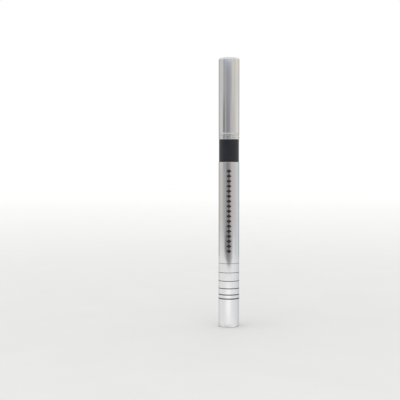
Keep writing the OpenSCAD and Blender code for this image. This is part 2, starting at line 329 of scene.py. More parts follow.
RUBBER = Finish("black_seal_rubber", (0.028, 0.028, 0.029), (0.018, 0.018, 0.019), (0.6, 0.78),
                depth=3e-6)
FIBRE = Finish("bonded_white_fibre", (0.84, 0.82, 0.77), (0.66, 0.63, 0.58), (0.75, 0.95),
               cloud=700.0, grain=(14000.0, 14000.0, 900.0), depth=1.2e-5, fuzz=0.4)
FILAMENT = Finish("inked_black_filament", (0.012, 0.011, 0.012), (0.007, 0.007, 0.008), (0.16, 0.3),
                  cloud=900.0, grain=(9000.0, 9000.0, 700.0), depth=2e-6)
STEEL = Finish("bright_steel", (0.66, 0.67, 0.69), (0.56, 0.57, 0.59), (0.12, 0.22),
               cloud=900.0, grain=(5000.0, 5000.0, 5000.0), depth=6e-7, metal=1.0)
INK = Finish("printed_black_ink", (0.030, 0.022, 0.030), (0.018, 0.014, 0.020), (0.36, 0.5),
             cloud=1200.0, grain=(7000.0, 7000.0, 7000.0), depth=2e-6)
# Near-white paper; the floor multiplies painted shade into it, graded by distance from the pen.
PAPER = Finish("floor_paper_painted_shade", (1.0, 1.0, 0.993), (0.985, 0.985, 0.978), (0.6, 0.7),
               cloud=30.0, grain=(900.0, 900.0, 900.0), depth=2e-6)


@dataclass(frozen=True)
class Corner:
    """One corner of a turned outline.

    Attributes:
        r: distance from the pen's axis.
        z: height above the tail.
        soft: radius of the corner's rounding, or 0 for a sharp one.
    """

    r: float
    z: float
    soft: float = 0.0


def arc(centre: Vector, start: Vector, end: Vector) -> list[Pair]:
    """Gives points along the shorter arc round a centre.

    Args:
        centre: the arc's centre.
        start: its first point.
        end: its last point.

    Returns:
        The points, both ends among them.
    """
    first, last = start - centre, end - centre
    begin = math.atan2(first.y, first.x)
    sweep = (math.atan2(last.y, last.x) - begin + math.pi) % math.tau - math.pi
    steps = max(2, math.ceil(abs(sweep) / ARC_STEP))
    radius = first.length
    return [(centre.x + radius * math.cos(begin + sweep * i / steps),
             centre.y + radius * math.sin(begin + sweep * i / steps)) for i in range(steps + 1)]


def rounded(corners: Sequence[Corner], closed: bool) -> list[Pair]:
    """Gives the points of an outline, with its soft corners as arcs.

    A long straight stretch gets a point close to each soft corner, so that its shading stays even.

    Args:
        corners: the outline's corners in order.
        closed: whether it comes back to its start; an open one starts and ends on the axis.

    Returns:
        Points as distance from the axis and height.
    """
    points: list[Pair] = []
    count = len(corners)
    for i, corner in enumerate(corners):
        here = Vector((corner.r, corner.z))
        if not corner.soft or (not closed and i in (0, count - 1)):
            points.append((corner.r, corner.z))
            continue
        ahead = corners[(i + 1) % count]
        back_way = Vector((corners[i - 1].r, corners[i - 1].z)) - here
        next_way = Vector((ahead.r, ahead.z)) - here
        before, after = back_way.normalized(), next_way.normalized()
        half = before.angle(after) / 2
        reach = corner.soft / math.tan(half)
        centre = here + (before + after).normalized() * (corner.soft / math.sin(half))
        if back_way.length > GUARD_REACH * reach:
            points.append(tuple(here + before * GUARD_PLACE * reach))
        points += arc(centre, here + before * reach, here + after * reach)
        if next_way.length > GUARD_REACH * reach:
            points.append(tuple(here + after * GUARD_PLACE * reach))
    return points


def bead(r: float, z: float, height: float, radius: float) -> list[Corner]:
    """Gives the corners of a round bead that stands out of a shaft.

    Args:
        r: the shaft's radius.
        z: the bead's height along it.
        height: how far it stands out.
        radius: the radius of its section.

    Returns:
        Corners from below the bead to above it.
    """
    middle = r + height - radius
    half = math.acos((radius - height) / radius)
    steps = 8
    turns = [half * (2 * i / steps - 1) for i in range(steps + 1)]
    return [Corner(middle + radius * math.cos(turn), z + radius * math.sin(turn)) for turn in turns]


def groove(r: float, z: float, width: float, depth: float, soft: float) -> list[Corner]:
    """Gives the corners of a square groove round a piece.

    Args:
        r: the piece's radius; a negative depth cuts outwards, into a bore.
        z: the groove's middle.
        width: its width.
        depth: its depth.
        soft: rounding of its outer edges.

    Returns:
        Corners from below the groove to above it.
    """
    low, high = z - width / 2, z + width / 2
    return [Corner(r, low, soft), Corner(r - depth, low), Corner(r - depth, high),
            Corner(r, high, soft)]


class Workshop:
    """Makes plain meshes out of Geometry Nodes trees."""

    def __init__(self) -> None:
        """Builds the tree that turns outlines."""
        self.turning, self.turning_inputs = self._turning_tree()

    @staticmethod
    def new_tree(name: str, sizes: Sequence[str],
                 counts: Sequence[str] = ()) -> tuple[Graph, dict[str, str], bpy.types.Node]:
        """Starts a Geometry Nodes tree, which takes a base mesh and a finish too.

        Args:
            name: the tree's name.
            sizes: names of its inputs for sizes and other numbers.
            counts: names of its inputs for whole numbers.

        Returns:
            The graph, the inputs' identifiers by name, and the group's input node.
        """
        tree = bpy.data.node_groups.new(name, "GeometryNodeTree")
        tree.interface.new_socket("Piece", in_out="OUTPUT", socket_type="NodeSocketGeometry")
        tree.interface.new_socket("Base", in_out="INPUT", socket_type="NodeSocketGeometry")
        kinds = {**dict.fromkeys(sizes, "NodeSocketFloat"),
                 **dict.fromkeys(counts, "NodeSocketInt"), "Finish": "NodeSocketMaterial"}
        names = {}
        for label, kind in kinds.items():
            socket = tree.interface.new_socket(label, in_out="INPUT", socket_type=kind)
            names[label] = socket.identifier
        graph = Graph(tree)
        return graph, names, graph.add("NodeGroupInput")

    @staticmethod
    def end_tree(graph: Graph, geometry: bpy.types.NodeSocket,
                 finish: bpy.types.NodeSocket) -> None:
        """Ends a tree in Realize Instances and Set Material.

        Args:
            graph: the tree's graph.
            geometry: what the tree made.
            finish: the tree's input for the finish.
        """
        real = graph.add("GeometryNodeRealizeInstances", {0: geometry})
        dressed = graph.add("GeometryNodeSetMaterial", {
            "Geometry": real.outputs[0], "Material": finish})
        graph.add("NodeGroupOutput", {0: dressed.outputs[0]})

    def _turning_tree(self) -> tuple[bpy.types.NodeTree, dict[str, str]]:
        """Builds the tree that sweeps an outline round the Z axis.

        Returns:
            The tree and its inputs' identifiers by name.
        """
        graph, names, given = self.new_tree("turned_piece", ["Spine Radius"], ["Sides"])
        place = graph.split(graph.add("GeometryNodeInputPosition").outputs[0])
        across = graph.maths("SUBTRACT", place[0], given.outputs["Spine Radius"])
        down = graph.maths("MULTIPLY", place[2], -1.0)
        laid = graph.add("GeometryNodeSetPosition", {
            "Geometry": given.outputs["Base"], "Position": graph.join(across, down)})
        outline = graph.add("GeometryNodeMeshToCurve", {"Mesh": laid.outputs[0]})
        spine = graph.add("GeometryNodeCurvePrimitiveCircle", {
            "Resolution": given.outputs["Sides"], "Radius": given.outputs["Spine Radius"]})
        swept = graph.add("GeometryNodeCurveToMesh", {
            "Curve": spine.outputs[0], "Profile Curve": outline.outputs[0]})
        merged = graph.add("GeometryNodeMergeByDistance", {
            "Geometry": swept.outputs[0], "Distance": WELD})
        self.end_tree(graph, merged.outputs[0], given.outputs["Finish"])
        return graph.tree, names

    @staticmethod
    def settle(piece: bpy.types.Object) -> bpy.types.Object:
        """Turns a piece with a live tree into a plain mesh with outward faces and crisp edges.

        Args:
            piece: the piece with its tree.

        Returns:
            The same piece, with no modifier.
        """
        depsgraph = bpy.context.evaluated_depsgraph_get()
        mesh = bpy.data.meshes.new_from_object(
            piece.evaluated_get(depsgraph), preserve_all_data_layers=True, depsgraph=depsgraph)
        piece.modifiers.clear()
        piece.data = mesh
        mesh.name = piece.name
        shape = bmesh.new()
        shape.from_mesh(mesh)
        bmesh.ops.recalc_face_normals(shape, faces=shape.faces)
        shape.to_mesh(mesh)
        shape.free()
        mesh.shade_smooth()
        mesh.set_sharp_from_angle(angle=SHARP_ANGLE)
        return piece

    def grow(self, name: str, tree: bpy.types.NodeTree, names: Mapping[str, str],
             values: Mapping[str, object], base: bpy.types.Mesh | None = None) -> bpy.types.Object:
        """Runs a tree once and keeps its mesh.

        Args:
            name: the piece's name.
            tree: the Geometry Nodes tree.
            names: the tree's input identifiers by name.
            values: a value for each input, by name.
            base: the mesh that the tree starts from, if it needs one.

        Returns:
            The piece.
        """
        piece = bpy.data.objects.new(name, base or bpy.data.meshes.new(name))
        bpy.context.scene.collection.objects.link(piece)
        modifier = piece.modifiers.new(name, "NODES")
        modifier.node_group = tree
        for label, value in values.items():
            modifier[names[label]] = value
        return self.settle(piece)

    def turn(self, name: str, corners: Sequence[Corner], finish: Finish, closed: bool = True,
             sides: int = ROUND_SIDES) -> bpy.types.Object:
        """Turns an outline into a round piece.

        Args:
            name: the piece's name.
            corners: its outline.
            finish: its finish.
            closed: whether the outline is a loop clear of the axis.
            sides: flats round the piece.

        Returns:
            The piece.
        """
        points = rounded(corners, closed)
        edges = [(i, i + 1) for i in range(len(points) - 1)]
        if closed:
            edges.append((len(points) - 1, 0))
        base = bpy.data.meshes.new(name)
        base.from_pydata([(r, 0.0, z) for r, z in points], edges, [])
        values = {"Sides": sides, "Spine Radius": SPINE_R, "Finish": finish.material()}
        return self.grow(name, self.turning, self.turning_inputs, values, base)


def seat(piece: bpy.types.Object, body: Body, slot: Slot, *nodes: str) -> None:
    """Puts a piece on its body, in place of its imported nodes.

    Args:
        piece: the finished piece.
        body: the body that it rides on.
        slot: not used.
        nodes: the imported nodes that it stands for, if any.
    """
    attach(piece, body.value)
    if nodes:
        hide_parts(*nodes)
    LOG.info("%s rides on %s, %d faces", piece.name, body.value, len(piece.data.polygons))


def dress(node: bpy.types.Object, finish: Finish) -> None:
    """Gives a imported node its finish.

    Args:
        node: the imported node's object.
        finish: the finish that it gets.
    """
    for slot in node.material_slots:
        slot.material = finish.material()
    LOG.info("%s keeps its packed shape, in %s", node.name, finish.name)


def radius_of(node: str) -> float:
    """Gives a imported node's greatest radius."""
    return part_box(node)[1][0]


def foot_of(node: str) -> float:
    """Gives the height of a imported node's lower end."""
    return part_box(node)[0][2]


def top_of(node: str) -> float:
    """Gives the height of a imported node's upper end."""
    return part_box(node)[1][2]


@dataclass(frozen=True)
class Fits:
    """Walls, clearances and other sizes that the sub-assemblies share.

    Attributes:
        sleeve_wall: wall of the metal sleeves.
        seat_gap: radial clearance of pressed seats.
        slide_gap: radial clearance of the cap and the seal cup.
        liner_wall: wall of the cap's lining.
        neck_wall: wall of the neck round the nose cone.
        click: height of the neck's click bead, and depth of its groove in the lining.
        nozzle: radius of the nozzle, which the seal cup closes on.
        cup_skirt: height of the seal cup below its flange.
        bevel: bevel of the metal next to the black band.
        edge: rounding of small moulded and metal edges.
    """

    sleeve_wall: float = 0.0004
    seat_gap: float = 0.00002
    slide_gap: float = 0.0001
    liner_wall: float = 0.00055
    neck_wall: float = 0.001
    click: float = 0.00008
    nozzle: float = 0.002
    cup_skirt: float = 0.005
    bevel: float = 0.0001
    edge: float = 0.00005

    @property
    def sleeve_bore(self) -> float:
        """Inner radius of the metal sleeves."""
        return radius_of("barrel_sleeve") - self.sleeve_wall

    @property
    def skirt(self) -> float:
        """Radius of what is pressed into the sleeves."""
        return self.sleeve_bore - self.seat_gap

    @property
    def liner_bore(self) -> float:
        """Inner radius of the cap's lining."""
        return self.skirt - self.liner_wall

    @property
    def neck(self) -> float:
        """Radius of the neck that the cap slides over."""
        return self.liner_bore - self.slide_gap


@dataclass(frozen=True)
class BarrelShell:
    """Tail plug, metal sleeve and centre band.

    Attributes:
        shop: makes the meshes.
        fits: shared walls and clearances.
        tail_round: radius of the tail's edge.
        spigot_wall: wall of the tail plug's spigot.
        band_bevel: bevel at both ends of the band.
        band_wall: wall of the band.
    """

    shop: Workshop
    fits: Fits
    tail_round: float = 0.0008
    spigot_wall: float = 0.001
    band_bevel: float = 0.00006
    band_wall: float = 0.0006

    def tail_plug(self) -> None:
        """Turns the closed tail that the pen stands on."""
        r, skirt, edge = radius_of("tail_plug"), self.fits.skirt, self.fits.edge
        seam, top = foot_of("barrel_sleeve"), top_of("tail_plug")
        inner = skirt - self.spigot_wall
        outline = [
            Corner(0, 0), Corner(r, 0, self.tail_round), Corner(r, seam, edge),
            Corner(skirt, seam), Corner(skirt, top, 4 * edge),
            Corner(inner, top, edge), Corner(inner, seam), Corner(0, seam)]
        tail = self.shop.turn("tail_plug_turned", outline, SILVER, closed=False)
        seat(tail, Body.BARREL, Slot.SILVER, "tail_plug")

    def sleeve(self) -> None:
        """Turns the long metal sleeve."""
        r, bore = radius_of("barrel_sleeve"), self.fits.sleeve_bore
        edge, bevel = self.fits.edge, self.fits.bevel
        low, high = foot_of("barrel_sleeve"), top_of("barrel_sleeve")
        outline = [
            Corner(bore, low), Corner(r, low, edge), Corner(r, high - bevel, edge),
            Corner(r - bevel, high, edge / 2), Corner(bore, high)]
        sleeve = self.shop.turn("barrel_sleeve_drawn", outline, SILVER)
        seat(sleeve, Body.BARREL, Slot.SILVER, "barrel_sleeve")

    def band(self) -> None:
        """Turns the black centre band."""
        r, edge, cut = radius_of("centre_band"), self.fits.edge, self.band_bevel
        low, high, inner = foot_of("centre_band"), top_of("centre_band"), r - self.band_wall
        outline = [
            Corner(inner, low), Corner(r - cut, low, edge / 2), Corner(r, low + cut, edge),
            Corner(r, high - cut, edge), Corner(r - cut, high, edge / 2), Corner(inner, high)]
        band = self.shop.turn("centre_band_turned", outline, BAND)
        seat(band, Body.BARREL, Slot.BAND, "centre_band")


@dataclass(frozen=True)
class PrintedMarks:
    """Plain ornament printed on the barrel: a column of lozenges, and fine rings near the tail.

    Attributes:
        shop: makes the meshes.
        film: thickness of the ink.
        sunk: how far the ink's back lies under the metal's face.
        column: lowest and highest middle of the large lozenges.
        lozenges: how many large lozenges.
        lozenge: width and height of a large lozenge.
        seed: width and height of a small lozenge between two large ones.
        side_points: points along a lozenge's side, so that it bends round the barrel.
        turned: how far the column is turned from the front.
        rings: height of the lowest and the highest ring.
        ring_count: how many rings.
        ring_spread: how quickly the rings draw apart.
        ring_widths: width of the lowest and the highest ring.
    """

    shop: Workshop
    film: float = 0.00002
    sunk: float = 0.00001
    column: Pair = (0.0388, 0.0794)
    lozenges: int = 17
    lozenge: Pair = (0.0027, 0.00205)
    seed: Pair = (0.0008, 0.0006)
    side_points: int = 7
    turned: float = math.radians(-2)
    rings: Pair = (0.0145, 0.0325)
    ring_count: int = 6
    ring_spread: float = 1.35
    ring_widths: Pair = (0.00055, 0.00018)

    def lozenge_column(self) -> None:
        """Prints the column of large and small lozenges down the front."""
        graph, names, given = self.shop.new_tree("lozenge_column", [
            "Barrel Radius", "Film", "Sunk", "Low", "Pitch", "Width", "Height", "Seed Width",
            "Seed Height", "Turned"], ["Count"])
        value = given.outputs
        large = self._row(graph, value, value["Low"], value["Count"], value["Width"],
                          value["Height"])
        between = graph.maths("ADD", value["Low"], graph.maths("MULTIPLY", value["Pitch"], 0.5))
        gaps = graph.maths("SUBTRACT", value["Count"], 1)
        small = self._row(graph, value, between, gaps, value["Seed Width"],
                          value["Seed Height"])
        both = graph.add("GeometryNodeJoinGeometry", {0: large})
        graph.tree.links.new(small, both.inputs[0])
        real = graph.add("GeometryNodeRealizeInstances", {0: both.outputs[0]})
        place = graph.split(graph.add("GeometryNodeInputPosition").outputs[0])
        angle = graph.maths("ADD", graph.maths("DIVIDE", place[0], value["Barrel Radius"]),
                            value["Turned"])
        back = graph.maths("SUBTRACT", value["Barrel Radius"], value["Sunk"])
        thick = graph.maths("ADD", value["Film"], value["Sunk"])
        reach = graph.maths("MULTIPLY_ADD", place[1], thick, back)
        front = graph.maths("MULTIPLY", graph.maths("COSINE", angle), -1.0)
        wrapped = graph.join(graph.maths("MULTIPLY", reach, graph.maths("SINE", angle)),
                             graph.maths("MULTIPLY", reach, front), place[2])
        bent = graph.add("GeometryNodeSetPosition", {
            "Geometry": real.outputs[0], "Position": wrapped})
        self.shop.end_tree(graph, bent.outputs[0], value["Finish"])
        low, high = self.column
        marks = self.shop.grow("lozenge_column_print", graph.tree, names, {
            "Barrel Radius": radius_of("barrel_sleeve"), "Film": self.film, "Sunk": self.sunk,
            "Low": low, "Pitch": (high - low) / (self.lozenges - 1), "Count": self.lozenges,
            "Width": self.lozenge[0], "Height": self.lozenge[1], "Seed Width": self.seed[0],
            "Seed Height": self.seed[1], "Turned": self.turned, "Finish": INK.material()})
        seat(marks, Body.BARREL, Slot.BAND)

    def _row(self, graph: Graph, value: bpy.types.NodeOutputs, low: object, count: object,
             width: object, height: object) -> bpy.types.NodeSocket:
        """Adds a row of flat lozenges along Z, one metre thick in Y until they are wrapped.

        Args:
            graph: the tree's graph.
            value: the tree's inputs.
            low: the height of the first lozenge.
            count: how many there are.
            width: their width.
            height: their height.

        Returns:
            The row's instances.
        """
        side = math.sqrt(0.5)
        block = graph.add("GeometryNodeMeshCube", {
            "Size": (side, 1.0, side), "Vertices X": self.side_points, "Vertices Y": 2,
            "Vertices Z": self.side_points})
        stood = graph.add("GeometryNodeTransform", {
            "Geometry": block.outputs[0], "Translation": (0, 0.5, 0),
            "Rotation": (0, math.radians(45), 0)})
        line = graph.add("GeometryNodeMeshLine", {
            "Count": count, "Start Location": graph.join(z=low),
            "Offset": graph.join(z=value["Pitch"])})
        row = graph.add("GeometryNodeInstanceOnPoints", {
            "Points": line.outputs[0], "Instance": stood.outputs[0],
            "Scale": graph.join(width, 1.0, height)})
        return row.outputs[0]

    def tail_rings(self) -> None:
        """Prints the fine rings near the tail, which thin out upwards."""
        graph, names, given = self.shop.new_tree("tail_rings", [
            "Barrel Radius", "Film", "Sunk", "Low", "High", "Spread", "Low Width", "High Width"],
            ["Count"])
        value = given.outputs
        points = graph.add("GeometryNodePoints", {"Count": value["Count"]})
        index = graph.add("GeometryNodeInputIndex").outputs[0]
        share = graph.maths("DIVIDE", index, graph.maths("SUBTRACT", value["Count"], 1))
        spread = graph.maths("POWER", share, value["Spread"])
        height = graph.remap(spread, 0.0, 1.0, (value["Low"], value["High"]))
        width = graph.remap(share, 0.0, 1.0, (value["Low Width"], value["High Width"]))
        placed = graph.add("GeometryNodeSetPosition", {
            "Geometry": points.outputs[0], "Position": graph.join(z=height)})
        thick = graph.maths("ADD", value["Film"], value["Sunk"])
        lift = graph.maths("SUBTRACT", graph.maths("MULTIPLY", thick, 0.5), value["Sunk"])
        circle = graph.add("GeometryNodeCurvePrimitiveCircle", {
            "Resolution": ROUND_SIDES, "Radius": graph.maths("ADD", value["Barrel Radius"], lift)})
        section = graph.add("GeometryNodeCurvePrimitiveQuadrilateral", {
            "Width": thick, "Height": 1.0})
        ring = graph.add("GeometryNodeCurveToMesh", {
            "Curve": circle.outputs[0], "Profile Curve": section.outputs[0]})
        rings = graph.add("GeometryNodeInstanceOnPoints", {
            "Points": placed.outputs[0], "Instance": ring.outputs[0],
            "Scale": graph.join(1.0, 1.0, width)})
        self.shop.end_tree(graph, rings.outputs[0], value["Finish"])
        marks = self.shop.grow("tail_rings_print", graph.tree, names, {
            "Barrel Radius": radius_of("barrel_sleeve"), "Film": self.film, "Sunk": self.sunk,
            "Low": self.rings[0], "High": self.rings[1], "Count": self.ring_count,
            "Spread": self.ring_spread, "Low Width": self.ring_widths[0],
            "High Width": self.ring_widths[1], "Finish": INK.material()})
        seat(marks, Body.BARREL, Slot.BAND)


@dataclass(frozen=True)
class Nose:
    """Front section with the neck, nose cone, tip holder and brush.

    Attributes:
        shop: makes the meshes.
        fits: shared walls and clearances.
        collector_bore: bore that holds the collector.
        relay_bore: bore that holds the relay core.
        plug: radius of the front section inside the tank.
        plug_l: its length there.
        collar: radius under the centre band.
        seal_groove: width and depth of the groove for the seal ring.
        bead_radius: radius of the click bead's section.
        cone_step: step from the neck to the foot of the taper.
        shoulder: radius of the shoulder at the top of the taper.
        nozzle_l: length of the nozzle.
        grip_l: length of the holder's narrow bore.
        brush: radius of the brush where it leaves the holder.
        root_t: thickness of the fused disc at its root.
        core_share: radius of the core as a share of the brush's own.
        core_bends: how far out along the brush the core bends, with its radius there, as shares.
        core_soft: rounding of those bends, as a share of the brush's free length.
        core_end: how far out the core ends, as a share of the same length.
        core_sides: flats round the core.
        filaments: how many filaments stand round the core.
        filament: radius of a filament.
        filament_points: points along a filament.
        filament_sides: flats round it.
        layer: least and greatest share of the brush's section that filaments stand at.
        jitter: greatest turn of a filament out of its regular place.
        shortest: length of the shortest filament as a share of the longest.
        swell: the bundle's radius along the brush, as shares.
        taper: how late a filament tapers, as a power, and its last radius as a share.
        seed: what sets the filaments' chance.
    """

    shop: Workshop
    fits: Fits
    collector_bore: float = 0.00278
    relay_bore: float = 0.00107
    plug: float = 0.00398
    plug_l: float = 0.005
    collar: float = 0.00447
    seal_groove: Pair = (0.001, 0.0008)
    bead_radius: float = 0.0004
    cone_step: float = 0.0002
    shoulder: float = 0.0026
    nozzle_l: float = 0.003
    grip_l: float = 0.006
    brush: float = 0.00085
    root_t: float = 0.0006
    core_share: float = 0.84
    core_bends: tuple[Pair, ...] = ((0.35, 0.9), (0.7, 0.5))
    core_soft: float = 0.3
    core_end: float = 0.97
    core_sides: int = 48
    filaments: int = 150
    filament: float = 0.000045
    filament_points: int = 14
    filament_sides: int = 6
    layer: Pair = (0.62, 0.94)
    jitter: float = 0.35
    shortest: float = 0.93
    swell: tuple[Pair, ...] = ((0.0, 1.0), (0.35, 0.94), (0.7, 0.56), (1.0, 0.03))
    taper: Pair = (2.5, 0.25)
    seed: int = 7

    def front_section(self) -> None:
        """Turns the black moulding that carries the band and the neck."""
        edge, skirt, neck = self.fits.edge, self.fits.skirt, self.fits.neck
        low, plug_top = foot_of("front_section"), top_of("ink_tank")
        band_low, band_top = foot_of("centre_band"), top_of("centre_band")
        neck_top, socket_foot = top_of("front_section"), foot_of("nose_cone")
        socket = neck - self.fits.neck_wall
        width, depth = self.seal_groove
        outline = [
            Corner(self.collector_bore, low), Corner(self.plug, low, 3 * edge),
            *groove(self.plug, low + self.plug_l / 2, width, depth, edge),
            Corner(self.plug, plug_top), Corner(skirt, plug_top, 2 * edge), Corner(skirt, band_low),
            Corner(self.collar, band_low), Corner(self.collar, band_top), Corner(neck, band_top),
            *bead(neck, (band_top + neck_top) / 2, self.fits.click, self.bead_radius),
            Corner(neck, neck_top, 5 * edge), Corner(socket, neck_top), Corner(socket, socket_foot),
            Corner(self.relay_bore, socket_foot), Corner(self.relay_bore, band_top),
            Corner(self.collector_bore, band_top)]
        section = self.shop.turn("front_section_moulded", outline, BLACK)
        seat(section, Body.BARREL, Slot.BLACK, "front_section")

    def nose_cone(self) -> None:
        """Turns the taper and the nozzle."""
        edge, neck, gap = self.fits.edge, self.fits.neck, self.fits.seat_gap
        nozzle = self.fits.nozzle
        low, neck_top, high = foot_of("nose_cone"), top_of("front_section"), top_of("nose_cone")
        spigot, taper_top = neck - self.fits.neck_wall - gap, high - self.nozzle_l
        holder, holder_foot = radius_of("tip_holder") + gap, foot_of("tip_holder")
        outline = [
            Corner(self.relay_bore, low), Corner(spigot, low, 2 * edge), Corner(spigot, neck_top),
            Corner(neck - self.cone_step, neck_top, 2 * edge),
            Corner(self.shoulder, taper_top, 2 * edge), Corner(nozzle, taper_top, edge),
            Corner(nozzle, high, 5 * edge), Corner(holder, high), Corner(holder, holder_foot),
            Corner(self.relay_bore, holder_foot)]
        cone = self.shop.turn("nose_cone_moulded", outline, BLACK)
        seat(cone, Body.BARREL, Slot.BLACK, "nose_cone")

    def tip_holder(self) -> None:
        """Turns the sleeve that grips the brush."""
        r, edge, grip = radius_of("tip_holder"), self.fits.edge, self.brush + self.fits.seat_gap
        low, high = foot_of("tip_holder"), top_of("tip_holder")
        grip_foot = high - self.grip_l
        outline = [
            Corner(self.relay_bore, low), Corner(r, low, edge), Corner(r, high, 4 * edge),
            Corner(grip, high, 2 * edge), Corner(grip, grip_foot),
            Corner(self.relay_bore, grip_foot)]
        holder = self.shop.turn("tip_holder_moulded", outline, BLACK)
        seat(holder, Body.BARREL, Slot.BLACK, "tip_holder")

    def brush_core(self) -> None:
        """Turns the fused root and the dense middle of the brush."""
        root, low, point = radius_of("brush_tip"), foot_of("brush_tip"), top_of("brush_tip")
        edge, grip, mouth = self.fits.edge, low + self.root_t, top_of("tip_holder")
        free, core = point - mouth, self.brush * self.core_share
        bends = [Corner(core * share, mouth + free * out, free * self.core_soft)
                 for out, share in self.core_bends]
        outline = [
            Corner(0, low), Corner(root, low, edge), Corner(root, grip), Corner(self.brush, grip),
            Corner(self.brush, mouth - edge), Corner(core, mouth), *bends,
            Corner(0, mouth + free * self.core_end)]
        middle = self.shop.turn("brush_core", outline, FILAMENT, closed=False,
                                sides=self.core_sides)
        seat(middle, Body.BARREL, Slot.FILAMENT, "brush_tip")

    def brush_filaments(self) -> None:
        """Grows the tapered filaments that lie round the core and meet at the point."""
        graph, names, given = self.shop.new_tree("brush_filaments", [
            "Filament Radius", "Brush Radius", "Foot", "Length"], ["Count", "Seed"])
        value = given.outputs
        line = graph.add("GeometryNodeCurvePrimitiveLine", {"End": (0.0, 0.0, 1.0)})
        fine = graph.add("GeometryNodeResampleCurve", {
            "Curve": line.outputs[0], "Count": self.filament_points})
        copies = graph.add("GeometryNodeDuplicateElements", {
            "Geometry": fine.outputs[0], "Amount": value["Count"]}, domain="SPLINE")
        number = copies.outputs["Duplicate Index"]
        along = graph.add("GeometryNodeSplineParameter").outputs["Factor"]
        draw = graph.add("FunctionNodeRandomValue", {
            "Min": 0.0, "Max": 1.0, "ID": number, "Seed": value["Seed"]}, data_type="FLOAT")
        chance = draw.outputs[1]
        share = graph.maths("DIVIDE", graph.maths("ADD", number, 0.5), value["Count"])
        out = graph.maths("SQRT", graph.remap(share, 0.0, 1.0, self.layer))
        jitter = graph.maths("MULTIPLY", chance, self.jitter)
        turn = graph.maths("MULTIPLY_ADD", number, GOLDEN_ANGLE, jitter)
        reach = graph.maths("MULTIPLY", graph.maths("MULTIPLY", out, value["Brush Radius"]),
                            graph.curve(along, self.swell))
        length = graph.maths("MULTIPLY", value["Length"],
                             graph.remap(chance, 0.0, 1.0, (self.shortest, 1.0)))
        height = graph.maths("MULTIPLY_ADD", along, length, value["Foot"])
        placed = graph.add("GeometryNodeSetPosition", {
            "Geometry": copies.outputs[0], "Position": graph.polar(reach, turn, height)})
        late, thin = self.taper
        taper = graph.remap(graph.maths("POWER", along, late), 0.0, 1.0, (1.0, thin))
        hair = graph.add("GeometryNodeCurvePrimitiveCircle", {
            "Resolution": self.filament_sides, "Radius": value["Filament Radius"]})
        tubes = graph.add("GeometryNodeCurveToMesh", {
            "Curve": placed.outputs[0], "Profile Curve": hair.outputs[0], "Scale": taper,
            "Fill Caps": True})
        self.shop.end_tree(graph, tubes.outputs[0], value["Finish"])
        foot = top_of("tip_holder") - 4 * self.fits.edge
        hairs = self.shop.grow("brush_filaments", graph.tree, names, {
            "Count": self.filaments, "Filament Radius": self.filament, "Brush Radius": self.brush,
            "Foot": foot, "Length": top_of("brush_tip") - foot - self.filament, "Seed": self.seed,
            "Finish": FILAMENT.material()})
        seat(hairs, Body.BARREL, Slot.FILAMENT, "brush_tip")


